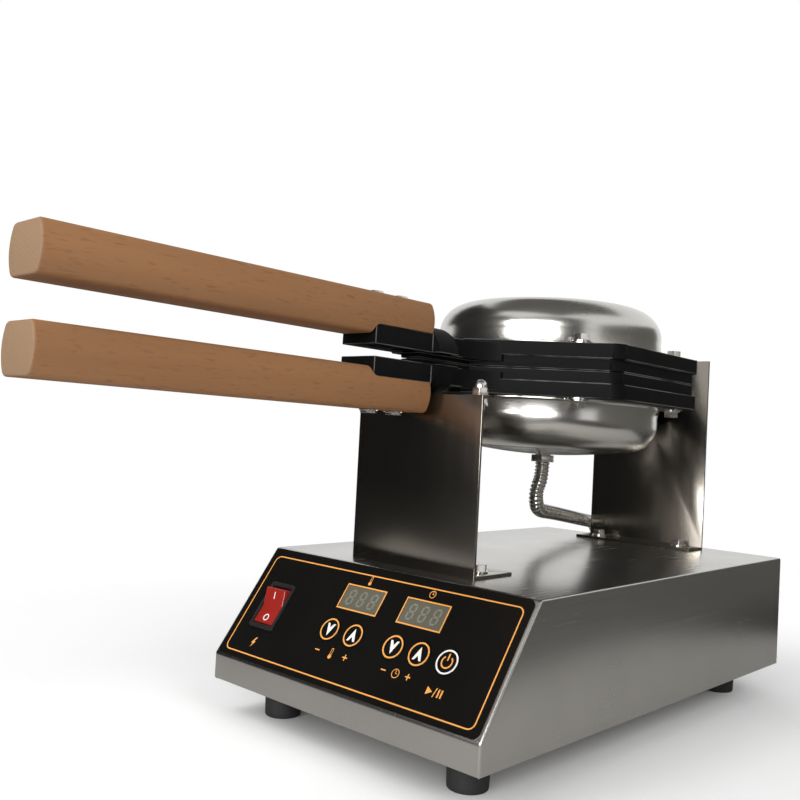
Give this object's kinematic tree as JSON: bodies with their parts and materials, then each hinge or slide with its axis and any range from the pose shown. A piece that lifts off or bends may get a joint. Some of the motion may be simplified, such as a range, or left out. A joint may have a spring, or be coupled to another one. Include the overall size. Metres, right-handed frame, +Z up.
{
  "type": "flip waffle iron",
  "caption": "Counter-top flip waffle iron with hexagonal plates, round steel covers, wooden handles and a sloping digital panel.",
  "frame": {"origin": "on the table under the middle of the whole object's box", "axes": "+Z up, -Y towards the user and the handle ends, +X to the user's right"},
  "size_m": [0.25, 0.6635, 0.3254],
  "materials": {
    "housing_steel": "brushed stainless sheet",
    "upright_steel": "brushed stainless sheet",
    "fastener_steel": "bright zinc and stainless fasteners",
    "cover_steel": "polished spun stainless",
    "plate_casting": "cast aluminium with a black speckled non-stick coat",
    "yoke_iron": "black iron",
    "bush_brass": "turned brass",
    "heater_steel": "sheathed heating tube",
    "thermostat_body": "white ceramic-filled plastic",
    "beech": "oiled beech",
    "foot_rubber": "black rubber",
    "overlay_film": "black film with orange print",
    "switch_black": "black plastic",
    "rocker_red": "red translucent plastic",
    "key_film": "black film with printed ring",
    "display_smoke": "grey display filter",
    "board_green": "glass-fibre board",
    "switch_plastic": "black moulding",
    "spacer_brass": "brass spacers",
    "core_steel": "laminated core",
    "gland_nylon": "black nylon",
    "conduit_steel": "ribbed stainless conduit"
  },
  "bodies": {
    "base": {"base_housing": "housing_steel", "base_floor": "housing_steel", "rear_panel": "housing_steel", "front_upright": "upright_steel", "rear_upright": "upright_steel", "housing_screws": "fastener_steel", "foot_screws": "fastener_steel", "upright_bolts": "fastener_steel", "stop_studs": "fastener_steel", "pivot_bush": "bush_brass", "rubber_feet": "foot_rubber", "control_overlay": "overlay_film", "switch_bezel": "switch_black", "temperature_display": "display_smoke", "time_display": "display_smoke", "control_board": "board_green", "key_switches": "switch_plastic", "power_relay": "switch_plastic", "terminal_block": "switch_plastic", "board_standoffs": "spacer_brass", "transformer": "core_steel", "cord_gland": "gland_nylon", "conduit_elbow": "conduit_steel", "conduit_hose": "conduit_steel"},
    "lower_mould": {"lower_plate": "plate_casting", "lower_heater": "heater_steel", "lower_cover": "cover_steel", "lower_cover_bolts": "fastener_steel", "lower_thermostat": "thermostat_body", "lower_handle": "beech", "lower_handle_bolts": "fastener_steel", "hinge_yoke": "yoke_iron", "yoke_bolts": "fastener_steel", "hinge_pin": "fastener_steel", "pivot_shaft": "fastener_steel", "pivot_nut": "fastener_steel", "conduit_fitting": "conduit_steel"},
    "upper_mould": {"upper_plate": "plate_casting", "upper_heater": "heater_steel", "upper_cover": "cover_steel", "upper_cover_bolts": "fastener_steel", "upper_thermostat": "thermostat_body", "upper_handle": "beech", "upper_handle_bolts": "fastener_steel"},
    "power_rocker": {"power_rocker": "rocker_red"},
    "temperature_down_key": {"temperature_down_key": "key_film"},
    "temperature_up_key": {"temperature_up_key": "key_film"},
    "time_down_key": {"time_down_key": "key_film"},
    "time_up_key": {"time_up_key": "key_film"},
    "start_key": {"start_key": "key_film"}
  },
  "joints": [
    {"name": "mould_flip", "type": "hinge", "parent": "base", "child": "lower_mould", "pos_m": [0, 0.2892, 0.2601], "axis": [0, 0.9999, -0.014], "range_deg": [0, 180], "deforming": ["conduit_hose"]},
    {"name": "mould_open", "type": "hinge", "parent": "lower_mould", "child": "upper_mould", "pos_m": [0, 0.25353, 0.2626], "axis": [1, 0, 0], "range_deg": [-100, 0]},
    {"name": "power_switch", "type": "hinge", "parent": "base", "child": "power_rocker", "pos_m": [-0.091, -0.08744, 0.07752], "axis": [-1, 0, 0], "range_deg": [0, 22]},
    {"name": "temperature_down_press", "type": "slide", "parent": "base", "child": "temperature_down_key", "axis": [0, 0.813, -0.5823], "range_m": [0, 0.0004], "stiffness_N_per_m": 600, "springref_m": -0.0008},
    {"name": "temperature_up_press", "type": "slide", "parent": "base", "child": "temperature_up_key", "axis": [0, 0.813, -0.5823], "range_m": [0, 0.0004], "stiffness_N_per_m": 600, "springref_m": -0.0008},
    {"name": "time_down_press", "type": "slide", "parent": "base", "child": "time_down_key", "axis": [0, 0.813, -0.5823], "range_m": [0, 0.0004], "stiffness_N_per_m": 600, "springref_m": -0.0008},
    {"name": "time_up_press", "type": "slide", "parent": "base", "child": "time_up_key", "axis": [0, 0.813, -0.5823], "range_m": [0, 0.0004], "stiffness_N_per_m": 600, "springref_m": -0.0008},
    {"name": "start_press", "type": "slide", "parent": "base", "child": "start_key", "axis": [0, 0.813, -0.5823], "range_m": [0, 0.0004], "stiffness_N_per_m": 600, "springref_m": -0.0008}
  ]
}
